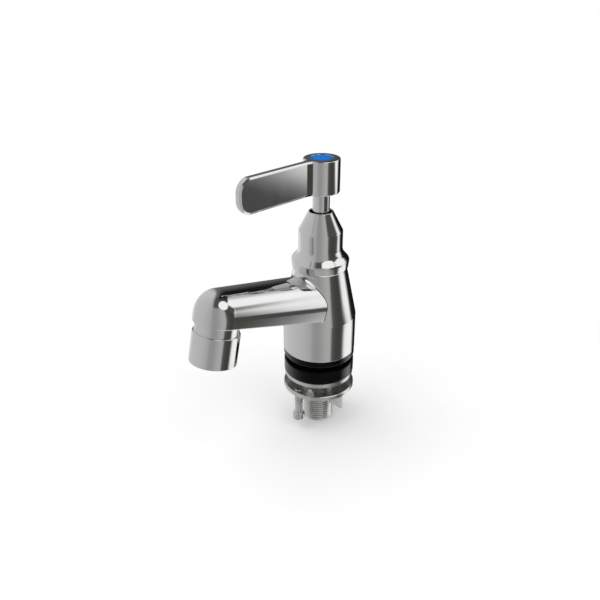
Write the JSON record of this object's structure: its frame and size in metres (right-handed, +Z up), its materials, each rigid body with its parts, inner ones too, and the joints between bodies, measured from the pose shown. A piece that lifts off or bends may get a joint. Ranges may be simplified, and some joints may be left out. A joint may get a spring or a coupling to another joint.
{
  "type": "pillar tap",
  "caption": "Chrome pillar tap with a rising spout, a quarter turn lever with a blue index, and a threaded shank with a deck clamp.",
  "frame": {"origin": "centre of the body's foot, on the common axis of the shank, the inlet bore and the spindle", "axes": "+Z up along the shank and the spindle, -Y forward along the spout and the closed lever, +X to the right seen from the front with +Y ahead"},
  "size_m": [0.0498, 0.1312, 0.1918],
  "materials": {
    "chrome": "bright satin chrome plate",
    "plated_brass": "nickel plated brass thread",
    "brass": "turned brass",
    "black_rubber": "smooth glossy black",
    "seal_rubber": "black nitrile",
    "steel": "bright zinc plate",
    "ceramic": "lapped alumina",
    "white_plastic": "moulded, matt",
    "sieve_steel": "perforated sheet",
    "blue_plastic": "glossy blue"
  },
  "bodies": {
    "tap": {"body_casting": "chrome", "inlet_shank": "plated_brass", "shank_seal": "seal_rubber", "base_gasket": "black_rubber", "bonnet": "chrome", "headwork_body": "brass", "headwork_seal": "seal_rubber", "fixed_disc": "ceramic", "seat_seal": "seal_rubber", "aerator_housing": "chrome", "aerator_washer": "seal_rubber", "flow_regulator": "white_plastic", "aerator_screen": "sieve_steel", "aerator_insert": "white_plastic"},
    "handle": {"lever_handle": "chrome", "index_disc": "blue_plastic", "handle_screw": "steel", "spindle": "brass", "spindle_rings": "seal_rubber", "spindle_clip": "steel", "thrust_washer": "white_plastic", "moving_disc": "ceramic"},
    "deck_clamp": {"deck_washer": "black_rubber", "steel_washer": "steel"},
    "nut": {"locknut": "steel"},
    "front_screw": {"jack_screw_front": "steel"},
    "rear_screw": {"jack_screw_rear": "steel"}
  },
  "joints": [
    {"name": "handle_turn", "type": "hinge", "parent": "tap", "child": "handle", "pos_m": [0, 0, 0.1], "axis": [0, 0, 1], "range_deg": [0, 90]},
    {"name": "clamp_travel", "type": "slide", "parent": "tap", "child": "deck_clamp", "axis": [0, 0, 1], "range_m": [-0.02, 0.0042]},
    {"name": "nut_turn", "type": "hinge", "parent": "deck_clamp", "child": "nut", "pos_m": [0, 0, -0.0282], "axis": [0, 0, 1], "range_deg": [-3970, 835]},
    {"name": "front_screw_travel", "type": "slide", "parent": "nut", "child": "front_screw", "axis": [0, 0, 1], "range_m": [-0.002, 0.0059]},
    {"name": "rear_screw_travel", "type": "slide", "parent": "nut", "child": "rear_screw", "axis": [0, 0, 1], "range_m": [-0.002, 0.0059]}
  ],
  "couplings": [
    {"joint": "nut_turn", "follows": "clamp_travel", "rad_per_m": 3463.2}
  ]
}
